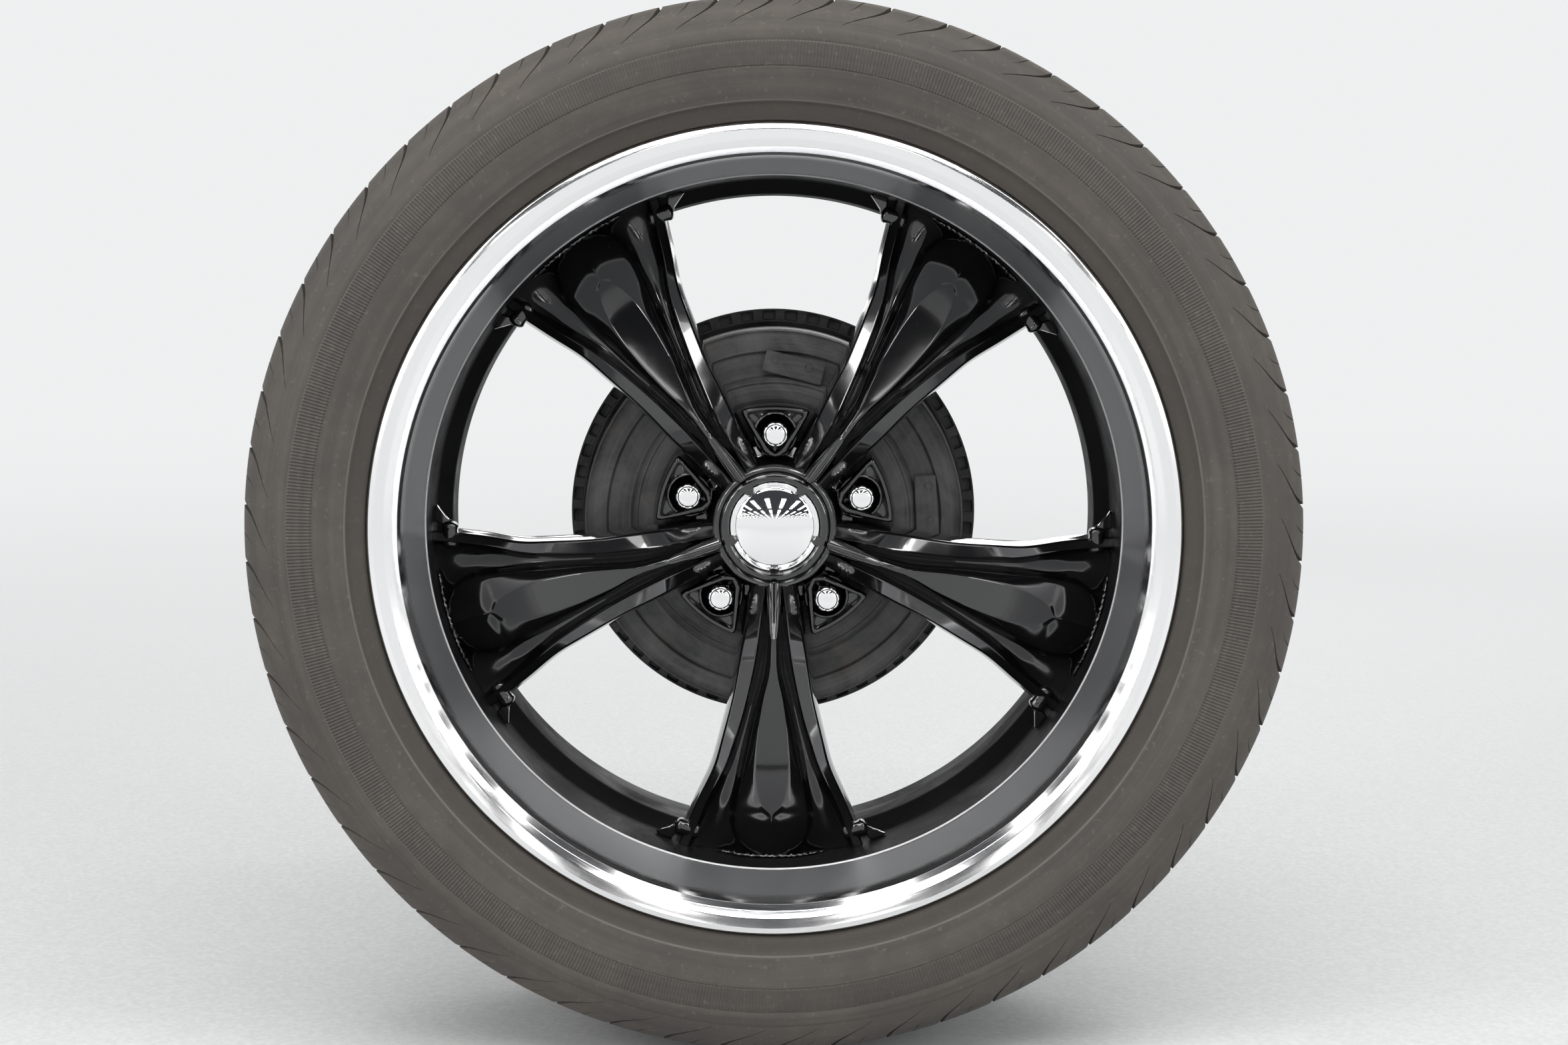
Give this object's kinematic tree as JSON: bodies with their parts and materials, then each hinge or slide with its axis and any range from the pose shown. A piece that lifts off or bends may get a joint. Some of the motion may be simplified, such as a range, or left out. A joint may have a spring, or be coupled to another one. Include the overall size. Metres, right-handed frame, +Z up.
{
  "type": "pickup rear wheel end",
  "caption": "Road wheel on the end of a solid rear axle: tyre, deep-lipped rim with a spoked centre, brake drum behind it, and the axle tube that carries it.",
  "frame": {"origin": "centre of the axle tube's inboard end", "axes": "+Y along the axle, towards the middle of the vehicle; -Y looks outboard, +Z is up and +X is to the right seen from outboard"},
  "size_m": [0.7278, 0.5245, 0.728],
  "materials": {
    "tyre_rubber": "matt, dusty dark grey",
    "polished_alloy": "polished lip, black painted barrel inside",
    "gloss_black": "gloss black paint",
    "chrome": "bright chrome",
    "cast_iron": "dull grey cast iron",
    "plated_steel": "dull plated steel",
    "forged_steel": "machined steel",
    "axle_paint": "satin black paint, dusty",
    "black_pressed_steel": "satin black coated pressing",
    "black_rubber": "matt black rubber"
  },
  "bodies": {
    "axle_end": {"axle_tube": "axle_paint", "housing_end": "axle_paint", "wheel_bearing": "forged_steel", "shaft_seal": "black_rubber", "backing_plate": "black_pressed_steel", "wheel_cylinder": "cast_iron", "spring_perch": "axle_paint", "plate_bolt_1": "plated_steel", "plate_bolt_2": "plated_steel", "plate_bolt_3": "plated_steel", "plate_bolt_4": "plated_steel"},
    "wheel": {"tyre": "tyre_rubber", "rim": "polished_alloy", "valve": "black_rubber", "spoke_centre": "gloss_black", "cap_ring": "gloss_black", "centre_cap": "chrome", "brake_drum": "cast_iron", "drum_weight_1": "plated_steel", "drum_weight_2": "plated_steel", "axle_shaft": "forged_steel", "lug_nut_1": "chrome", "lug_nut_2": "chrome", "lug_nut_3": "chrome", "lug_nut_4": "chrome", "lug_nut_5": "chrome", "wheel_stud_1": "plated_steel", "wheel_stud_2": "plated_steel", "wheel_stud_3": "plated_steel", "wheel_stud_4": "plated_steel", "wheel_stud_5": "plated_steel"}
  },
  "joints": [
    {"name": "wheel_spin", "type": "hinge", "parent": "axle_end", "child": "wheel", "pos_m": [0, -0.23, 0], "axis": [0, 1, 0], "continuous": true}
  ]
}
